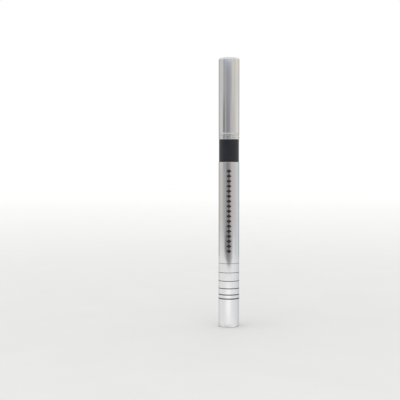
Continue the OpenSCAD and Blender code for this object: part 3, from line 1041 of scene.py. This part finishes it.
@dataclass(frozen=True)
class Cap:
    """Metal sleeve, grooved mouth ring and lining of the cap.

    Attributes:
        shop: makes the meshes.
        fits: shared walls and clearances.
        top_round: radius of the cap's top edge.
        roof_t: thickness of its closed top.
        crown: rounding of the mouth ring's upper edge.
        lip_t: thickness of the ring's lip under the lining.
        grooves: middles of the ring's lower and upper groove, from its foot.
        groove_widths: their widths.
        groove_depth: their depth.
        click_w: width of the lining's click groove.
        ledge_bore: inner radius of the ledge that keeps the seal cup.
        ledge_t: thickness of the ledge.
        cup_drop: how far the ledge lies under the cup's flange while the pen is closed.
        chamber: radius of the spring chamber.
    """

    shop: Workshop
    fits: Fits
    top_round: float = 0.0013
    roof_t: float = 0.0006
    crown: float = 0.0003
    lip_t: float = 0.0004
    grooves: Pair = (0.001007, 0.002074)
    groove_widths: Pair = (0.0002, 0.00035)
    groove_depth: float = 0.00018
    click_w: float = 0.0012
    ledge_bore: float = 0.0027
    ledge_t: float = 0.001
    cup_drop: float = 0.001
    chamber: float = 0.00355

    def sleeve(self) -> None:
        """Turns the closed metal sleeve."""
        r, bore, edge = radius_of("cap_sleeve"), self.fits.sleeve_bore, self.fits.edge
        mouth, top = foot_of("cap_sleeve"), top_of("cap_sleeve")
        roof = top - self.roof_t
        outline = [
            Corner(0, top), Corner(r, top, self.top_round), Corner(r, mouth, 5 * edge),
            Corner(bore, mouth), Corner(bore, roof, self.top_round - self.fits.sleeve_wall),
            Corner(0, roof)]
        sleeve = self.shop.turn("cap_sleeve_drawn", outline, SILVER, closed=False)
        seat(sleeve, Body.CAP, Slot.SILVER, "cap_sleeve")

    def mouth_ring(self) -> None:
        """Turns the bright ring with its two grooves."""
        r, bore, lip = radius_of("cap_mouth_ring"), self.fits.sleeve_bore, self.fits.liner_bore
        low, high = foot_of("cap_mouth_ring"), top_of("cap_mouth_ring")
        band_top, edge, bevel = top_of("centre_band"), self.fits.edge, self.fits.bevel
        cuts = [corner for z, width in zip(self.grooves, self.groove_widths)
                for corner in groove(r, band_top + z, width, self.groove_depth, edge / 2)]
        outline = [
            Corner(lip, low), Corner(r - bevel, low, edge / 2), Corner(r, low + bevel, edge),
            *cuts, Corner(r, high, self.crown),
            Corner(bore, high), Corner(bore, low + self.lip_t), Corner(lip, low + self.lip_t)]
        ring = self.shop.turn("cap_mouth_ring_turned", outline, BRIGHT)
        self._paint_groove_shade(ring)
        seat(ring, Body.CAP, Slot.BRIGHT, "cap_mouth_ring")

    def _paint_groove_shade(self, ring: bpy.types.Object) -> None:
        """Leaves the ring's grooves rougher than its polished outside, in a darker colour that is
        painted shade in them.

        Args:
            ring: the turned ring.
        """
        # The grooves' second finish is painted shade, darker than the polished ring.
        ring.data.materials.append(GROOVE_PAINTED_SHADE.material())
        margin = self.groove_depth / 10
        outside, foot = radius_of("cap_mouth_ring") - margin, top_of("centre_band")
        for face in ring.data.polygons:
            x, y, height = face.center
            cut = any(abs(height - foot - z) < width / 2 + margin
                      for z, width in zip(self.grooves, self.groove_widths))
            if cut and outside - self.groove_depth < math.hypot(x, y) < outside:
                face.material_index = 1

    def liner(self) -> None:
        """Turns the moulded lining with its click groove, ledge and chamber."""
        r, bore, edge = self.fits.skirt, self.fits.liner_bore, self.fits.edge
        low, high = foot_of("cap_liner"), top_of("cap_liner")
        ledge_top = foot_of("seal_cup") + self.fits.cup_skirt - self.cup_drop
        ledge_foot = ledge_top - self.ledge_t
        click = (top_of("centre_band") + top_of("front_section")) / 2
        cut = groove(bore, click, self.click_w, -self.fits.click, edge)
        outline = [
            Corner(r, low), Corner(r, high, edge), Corner(self.chamber, high, edge),
            Corner(self.chamber, ledge_top), Corner(self.ledge_bore, ledge_top, edge),
            Corner(self.ledge_bore, ledge_foot, edge), Corner(bore, ledge_foot), *reversed(cut),
            Corner(bore, low, edge)]
        liner = self.shop.turn("cap_liner_moulded", outline, MILKY)
        seat(liner, Body.CAP, Slot.MILKY, "cap_liner")


@dataclass(frozen=True)
class Seal:
    """Seal cup over the nozzle, and the spring behind it.

    Attributes:
        shop: makes the meshes.
        fits: shared walls and clearances.
        wall: wall of the cup.
        flange_t: thickness of the flange.
        wire: radius of the spring's wire.
        turns: turns of the spring.
        flat: share of the wire that lies flat at each end.
        wire_points: points along the wire.
        wire_sides: flats round it.
        keep: share of the spring's length that is left when the cup is pushed up; not used.
    """

    shop: Workshop
    fits: Fits
    wall: float = 0.0005
    flange_t: float = 0.001
    wire: float = 0.000175
    turns: float = 6.0
    flat: float = 0.1
    wire_points: int = 240
    wire_sides: int = 12
    keep: float = 0.85

    def cup(self) -> None:
        """Turns the seal cup."""
        edge, bore = self.fits.edge, self.fits.nozzle + self.fits.slide_gap
        r, flange = bore + self.wall, radius_of("seal_cup")
        low, high = foot_of("seal_cup"), top_of("seal_cup")
        step, roof = low + self.fits.cup_skirt, high - self.wall
        outline = [
            Corner(0, high), Corner(r, high, 6 * edge), Corner(r, step + self.flange_t),
            Corner(flange, step + self.flange_t, edge), Corner(flange, step, edge), Corner(r, step),
            Corner(r, low, 2 * edge), Corner(bore, low, 2 * edge), Corner(bore, roof, 4 * edge),
            Corner(0, roof)]
        cup = self.shop.turn("seal_cup_moulded", outline, SEAL, closed=False)
        seat(cup, Body.SEAL, Slot.SEAL, "seal_cup")

    def spring(self) -> None:
        """Winds the spring, with its end turns lying flat."""
        graph, names, given = self.shop.new_tree("seal_spring", [
            "Turns", "Coil Radius", "Wire Radius", "Foot", "Top"])
        value = given.outputs
        line = graph.add("GeometryNodeCurvePrimitiveLine", {"End": (0.0, 0.0, 1.0)})
        fine = graph.add("GeometryNodeResampleCurve", {
            "Curve": line.outputs[0], "Count": self.wire_points})
        along = graph.add("GeometryNodeSplineParameter").outputs["Factor"]
        turn = graph.maths("MULTIPLY", graph.maths("MULTIPLY", along, value["Turns"]), math.tau)
        rise = graph.remap(along, self.flat, 1 - self.flat, (value["Foot"], value["Top"]))
        wound = graph.add("GeometryNodeSetPosition", {
            "Geometry": fine.outputs[0], "Position": graph.polar(value["Coil Radius"], turn, rise)})
        wire = graph.add("GeometryNodeCurvePrimitiveCircle", {
            "Resolution": self.wire_sides, "Radius": value["Wire Radius"]})
        coil = graph.add("GeometryNodeCurveToMesh", {
            "Curve": wound.outputs[0], "Profile Curve": wire.outputs[0], "Fill Caps": True})
        self.shop.end_tree(graph, coil.outputs[0], value["Finish"])
        low, high = foot_of("seal_spring"), top_of("seal_spring")
        spring = self.shop.grow("seal_spring_wire", graph.tree, names, {
            "Turns": self.turns, "Coil Radius": radius_of("seal_spring") - self.wire,
            "Wire Radius": self.wire, "Foot": low + self.wire, "Top": high - self.wire,
            "Finish": STEEL.material()})
        seat(spring, Body.CAP, Slot.STEEL, "seal_spring")
        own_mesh(spring)


@dataclass(frozen=True)
class InkSystem:
    """Packed inner pieces that keep their shape and get their finish.

    Attributes:
        finishes: the finish of each piece, by its node's name.
    """

    finishes: Mapping[str, Finish] = field(default_factory=lambda: {
        "tank_stopper": SEAL, "ink_tank": MILKY, "mixing_ball": STEEL, "front_seal_ring": RUBBER,
        "ink_collector": MILKY, "feed_wick": FIBRE, "relay_core": FIBRE, "liner_plug": MILKY})

    def dress(self, nodes: Mapping[str, bpy.types.Object]) -> None:
        """Dresses each inner piece."""
        for name, finish in self.finishes.items():
            dress(nodes[name], finish)


@dataclass(frozen=True)
class Belt:
    """One belt of the light that the pen reflects, all the way round it.

    Attributes:
        lights: its lights, each with its azimuth in degrees from the front to the right, its
            strength and its tint.
        start: slope of the view where the belt begins to take over from the one before, if any.
        full: slope where it has taken over.
    """

    lights: tuple[Light, ...]
    start: float = 0.0
    full: float = 0.0


PLAIN = (1.0, 1.0, 1.0)
WARM = (1.03, 1.01, 0.955)
AMBER = (1.075, 1.0, 0.92)
ROSE = (1.10, 0.955, 0.94)
BLUSH = (1.05, 0.975, 0.985)
VIOLET = (0.98, 0.98, 1.05)
COOL = (0.965, 0.992, 1.04)
BLUE = (0.90, 0.977, 1.125)
FRESH = (0.94, 1.01, 1.045)

# Belts of the walls, from the one that the tail reflects up to the one that the cap's top reflects.
WALLS = (
    Belt((
        (-180, 0.32, PLAIN), (-158, 0.40, PLAIN), (-132, 0.64, PLAIN), (-100, 0.69, PLAIN),
        (-63, 0.62, PLAIN), (-51, 0.40, PLAIN), (-40, 0.18, PLAIN), (-4, 0.17, PLAIN),
        (14, 0.26, BLUSH), (27, 0.37, BLUSH), (40, 0.56, PLAIN), (54, 0.70, PLAIN),
        (72, 0.61, FRESH), (98, 0.66, FRESH), (130, 0.64, FRESH), (158, 0.38, PLAIN),
        (180, 0.32, PLAIN))),
    Belt((
        (-180, 0.28, PLAIN), (-158, 0.36, PLAIN), (-132, 0.56, WARM), (-90, 0.56, WARM),
        (-77, 0.49, WARM), (-60, 0.375, WARM), (-39, 0.35, PLAIN), (-28, 0.235, COOL),
        (-8, 0.24, VIOLET), (8, 0.31, ROSE), (26, 0.45, ROSE), (45, 0.51, BLUSH),
        (70, 0.54, PLAIN), (94, 0.63, FRESH), (130, 0.65, FRESH), (158, 0.40, PLAIN),
        (180, 0.28, PLAIN)),
        start=-0.085, full=-0.05),
    Belt((
        (-180, 0.28, PLAIN), (-158, 0.36, PLAIN), (-132, 0.58, WARM), (-85, 0.60, PLAIN),
        (-60, 0.19, PLAIN), (-39, 0.41, PLAIN), (-27, 0.25, COOL), (-15, 0.275, COOL),
        (-3, 0.285, COOL), (26, 0.50, BLUSH), (60, 0.53, WARM), (98, 0.69, WARM),
        (132, 0.67, WARM), (158, 0.40, PLAIN), (180, 0.28, PLAIN)),
        start=0.005, full=0.03),
    Belt((
        (-180, 0.30, PLAIN), (-158, 0.36, PLAIN), (-132, 0.58, PLAIN), (-77, 0.56, PLAIN),
        (-62, 0.39, PLAIN), (-51, 0.36, PLAIN), (-39, 0.41, VIOLET), (-27, 0.33, VIOLET),
        (-5, 0.345, VIOLET), (17, 0.40, VIOLET), (28, 0.48, PLAIN), (40, 0.59, WARM),
        (65, 0.56, WARM), (94, 0.66, WARM), (132, 0.66, WARM), (158, 0.40, PLAIN),
        (180, 0.30, PLAIN)),
        start=0.06, full=0.10),
    Belt((
        (-180, 0.30, PLAIN), (-158, 0.36, PLAIN), (-132, 0.58, WARM), (-77, 0.56, WARM),
        (-62, 0.39, PLAIN), (-51, 0.36, PLAIN), (-39, 0.41, COOL), (-27, 0.33, BLUE),
        (-5, 0.345, BLUE), (17, 0.40, COOL), (28, 0.48, PLAIN), (40, 0.59, AMBER),
        (65, 0.56, AMBER), (94, 0.66, AMBER), (132, 0.66, AMBER), (158, 0.40, PLAIN),
        (180, 0.30, PLAIN)),
        start=0.105, full=0.125),
)
# Belts below the horizon: the floor far off, nearer to the pen, and right under it.
GROUND = (
    Belt((
        (-180, 0.60, PLAIN), (-135, 0.76, PLAIN), (-108, 0.77, PLAIN), (-85, 0.77, PLAIN),
        (-60, 0.78, PLAIN), (-5, 0.82, PLAIN), (40, 0.80, PLAIN), (65, 0.77, COOL),
        (94, 0.72, COOL), (118, 0.67, COOL), (138, 0.70, COOL), (180, 0.60, PLAIN))),
    Belt((
        (-180, 0.34, PLAIN), (-150, 0.40, PLAIN), (-122, 0.70, PLAIN), (-95, 0.84, WARM),
        (-68, 0.66, PLAIN), (-45, 0.54, PLAIN), (-18, 0.42, COOL), (8, 0.44, COOL),
        (30, 0.64, PLAIN), (55, 0.88, WARM), (80, 0.80, WARM), (108, 0.56, PLAIN),
        (135, 0.66, PLAIN), (158, 0.42, PLAIN), (180, 0.34, PLAIN)),
        start=-0.19, full=-0.3),
    Belt((
        (-180, 0.52, PLAIN), (-150, 0.56, PLAIN), (-122, 0.72, PLAIN), (-97, 0.88, WARM),
        (-70, 0.64, PLAIN), (-44, 0.58, PLAIN), (-18, 0.76, COOL), (6, 0.86, PLAIN),
        (28, 0.74, PLAIN), (55, 0.96, WARM), (80, 0.86, WARM), (108, 0.58, PLAIN),
        (135, 0.74, PLAIN), (158, 0.58, PLAIN), (180, 0.52, PLAIN)),
        start=-0.55, full=-0.75),
)
# Where round the pen the front's extra brightness lies.
FRONT_GLOW = (
    (-180, 0.0, PLAIN), (-65, 0.0, PLAIN), (-5, 1.0, PLAIN), (45, 0.0, PLAIN), (180, 0.0, PLAIN))


@dataclass(frozen=True)
class Studio:
    """Paper floor with painted shade graded by its distance from the pen, soft light all round,
    light from above, and the camera.

    The light all round is what the metal reflects. The camera itself sees plain white behind the
    floor. A slope is the upright part of a direction of length 1: 0 is level, and 1 is straight up.

    Attributes:
        shop: makes the floor.
        lens: focal length in millimetres.
        distance: from the camera to the pen's axis.
        side: how far the camera stands to the left of the pen.
        eye: height of the camera.
        tilt: how far it looks down.
        near: how close to the camera things still show.
        floor_r: radius of the floor.
        floor_t: its thickness.
        floor_sides: straight edges round it.
        painted_paper_shade: painted shade of the paper at distances from the pen, from grey round
            it to white far off.
        upper_glow: slopes between which the front grows brighter, for the cap's top.
        upper_gain: how much brighter it gets.
        lower_glow: slopes between which the floor in front grows brighter, for the tail.
        lower_end: slopes between which that ends again.
        lower_gain: how much brighter it gets.
        horizon: slopes between which the walls give way to the floor, in front.
        bow: how fast the horizon rises away from the front.
        bow_top: how far it rises at most.
        roof: slopes between which the walls give way to the sky.
        sky_depth: parts of a direction, from the camera inwards, between which the sky grows
            lighter.
        sky: the sky's light at those two.
        sun: strength of the light from above.
        sun_spread: how wide it is.
        sun_lean: how far it leans about X and Y.
    """

    shop: Workshop
    lens: float = 80.0
    distance: float = 0.4545
    side: float = 0.0148
    eye: float = 0.078
    tilt: float = math.radians(1.68)
    near: float = 0.01
    floor_r: float = 4.0
    floor_t: float = 0.002
    floor_sides: int = 96
    # Painted shade of the paper: darkest round the pen, lightening to near white far off.
    painted_paper_shade: tuple[Pair, ...] = (
        (0.0, 0.715), (0.15, 0.735), (0.35, 0.76), (0.55, 0.795), (0.8, 0.83), (1.25, 0.87),
        (2.4, 0.93))
    upper_glow: Pair = (0.118, 0.13)
    upper_gain: float = 0.6
    lower_glow: Pair = (-0.112, -0.138)
    lower_end: Pair = (-0.15, -0.17)
    lower_gain: float = 0.22
    horizon: Pair = (-0.1, -0.105)
    bow: float = 0.02
    bow_top: float = 0.01
    roof: Pair = (0.15, 0.6)
    sky_depth: Pair = (-0.1, 0.8)
    sky: Pair = (0.71, 1.0)
    sun: float = 1.3
    sun_spread: float = math.radians(60)
    sun_lean: Pair = (math.radians(14), math.radians(-6))

    def camera(self) -> None:
        """Places the camera at the picture's viewpoint."""
        camera = bpy.data.objects.new("camera", bpy.data.cameras.new("camera"))
        camera.data.lens = self.lens
        camera.data.clip_start = self.near
        camera.location = (-self.side, -self.distance, self.eye)
        camera.rotation_euler = (math.pi / 2 - self.tilt, 0.0, 0.0)
        bpy.context.scene.collection.objects.link(camera)
        bpy.context.scene.camera = camera

    def floor(self) -> None:
        """Lays the wide floor; the metal reflects the belts of the ground in its place."""
        outline = [Corner(0, 0), Corner(self.floor_r, 0), Corner(self.floor_r, -self.floor_t),
                   Corner(0, -self.floor_t)]
        floor = self.shop.turn("floor", outline, PAPER, closed=False, sides=self.floor_sides)
        floor.visible_glossy = False
        self._paint_paper_shade(PAPER.material())
        LOG.info("floor of radius %.1f m laid", self.floor_r)

    def _paint_paper_shade(self, material: bpy.types.Material) -> None:
        """Paints shade on the paper by its distance from the pen.

        Args:
            material: the paper's material.
        """
        graph = Graph(material.node_tree, clear=False)
        shader = next(node for node in graph.tree.nodes
                      if node.bl_idname == "ShaderNodeBsdfPrincipled")
        place = graph.add("ShaderNodeTexCoord").outputs["Object"]
        out = graph.add("ShaderNodeVectorMath", {0: place}, operation="LENGTH").outputs["Value"]
        reach = self.painted_paper_shade[-1][0]
        stops = [(far / reach, (shade,) * 3) for far, shade in self.painted_paper_shade]
        # Painted shade: a ramp of greys by distance from the pen, multiplied into the paper's
        # colour.
        painted_shade = graph.ramp(graph.remap(out, 0.0, reach), stops, ease=False)
        cloud = shader.inputs["Base Color"].links[0].from_socket
        shaded = graph.add("ShaderNodeMix", {0: 1.0, 6: cloud, 7: painted_shade},
                           data_type="RGBA", blend_type="MULTIPLY")
        graph.tree.links.new(shaded.outputs[2], shader.inputs["Base Color"])

    def surroundings(self) -> None:
        """Builds the light round the pen: the walls' belts, the ground's belts and the sky."""
        world = bpy.data.worlds.new("studio")
        world.use_nodes = True
        bpy.context.scene.world = world
        graph = Graph(world.node_tree)
        way = graph.split(graph.add("ShaderNodeTexCoord").outputs["Generated"])
        inwards, slope = way[1], way[2]
        azimuth = graph.maths("ARCTAN2", way[0], graph.maths("MULTIPLY", inwards, -1.0))
        share = graph.maths("MULTIPLY_ADD", azimuth, 1 / math.tau, 0.5)
        glow = graph.ramp(share, self._stops(FRONT_GLOW))
        lift = graph.remap(slope, *self.upper_glow, (0.0, self.upper_gain), smooth=True)
        walls = self._scale(graph, self._belts(graph, share, slope, WALLS),
                            graph.maths("MULTIPLY_ADD", glow, lift, 1.0))
        lift = graph.maths("MULTIPLY", graph.remap(slope, *self.lower_glow, smooth=True),
                           graph.remap(slope, *self.lower_end, (self.lower_gain, 0.0), smooth=True))
        ground = self._scale(graph, self._belts(graph, share, slope, GROUND),
                             graph.maths("MULTIPLY_ADD", glow, lift, 1.0))
        bow = graph.maths("MULTIPLY", graph.maths("MULTIPLY", azimuth, azimuth), self.bow)
        bowed = graph.maths("SUBTRACT", slope, graph.maths("MINIMUM", bow, self.bow_top))
        below = self._blend(graph, graph.remap(bowed, *self.horizon, smooth=True), walls, ground)
        sky = graph.remap(inwards, *self.sky_depth, self.sky, smooth=True)
        around = self._blend(graph, graph.remap(slope, *self.roof, smooth=True), below, sky)
        seen = graph.add("ShaderNodeLightPath").outputs["Is Camera Ray"]
        light = graph.add("ShaderNodeBackground", {
            "Color": self._blend(graph, seen, around, (*PLAIN, 1.0)), "Strength": 1.0})
        graph.add("ShaderNodeOutputWorld", {"Surface": light.outputs[0]})

    def _belts(self, graph: Graph, share: object, slope: object,
               belts: Sequence[Belt]) -> bpy.types.NodeSocket:
        """Lays belts of light one over the other.

        Args:
            graph: the world's graph.
            share: the azimuth as a share of the whole turn.
            slope: the slope of the view.
            belts: the belts in order, the first one under all the others.

        Returns:
            The belts' light.
        """
        light = graph.ramp(share, self._stops(belts[0].lights))
        for belt in belts[1:]:
            over = graph.remap(slope, belt.start, belt.full, smooth=True)
            light = self._blend(graph, over, light, graph.ramp(share, self._stops(belt.lights)))
        return light

    @staticmethod
    def _blend(graph: Graph, share: object, first: object, second: object) -> bpy.types.NodeSocket:
        """Blends two colours by a share."""
        mix = graph.add("ShaderNodeMix", {0: share, 6: first, 7: second}, data_type="RGBA")
        return mix.outputs[2]

    @staticmethod
    def _scale(graph: Graph, colour: object, factor: object) -> bpy.types.NodeSocket:
        """Makes a colour brighter by a factor."""
        scaled = graph.add("ShaderNodeVectorMath", {0: colour, "Scale": factor}, operation="SCALE")
        return scaled.outputs[0]

    @staticmethod
    def _stops(lights: Sequence[Light]) -> list[tuple[float, Colour]]:
        """Turns azimuths in degrees with their light and tint into places on a ramp."""
        return [(degrees / 360 + 0.5, tuple(level * part for part in tint))
                for degrees, level, tint in lights]

    def overhead(self) -> None:
        """Lights the floor and the plastics from above, out of the metal's reflections."""
        light = bpy.data.lights.new("overhead_light", "SUN")
        light.energy = self.sun
        light.angle = self.sun_spread
        lamp = bpy.data.objects.new("overhead_light", light)
        lamp.rotation_euler = (*self.sun_lean, 0.0)
        lamp.visible_glossy = False
        bpy.context.scene.collection.objects.link(lamp)

    def build(self) -> None:
        """Builds the whole studio."""
        bpy.context.scene.view_settings.view_transform = "Standard"
        self.surroundings()
        self.overhead()
        self.floor()
        self.camera()


def main() -> None:
    """Builds the pen's looks round its frame, then the studio."""
    logging.basicConfig(level=logging.INFO, format="%(message)s")
    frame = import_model()
    shop = Workshop()
    fits = Fits()

    shell = BarrelShell(shop, fits)
    shell.tail_plug()
    shell.sleeve()
    shell.band()

    marks = PrintedMarks(shop)
    marks.lozenge_column()
    marks.tail_rings()

    nose = Nose(shop, fits)
    nose.front_section()
    nose.nose_cone()
    nose.tip_holder()
    nose.brush_core()
    nose.brush_filaments()

    cap = Cap(shop, fits)
    cap.sleeve()
    cap.mouth_ring()
    cap.liner()

    seal = Seal(shop, fits)
    seal.cup()
    seal.spring()

    InkSystem().dress(frame["nodes"])
    Studio(shop).build()


if __name__ == "__main__":
    main()
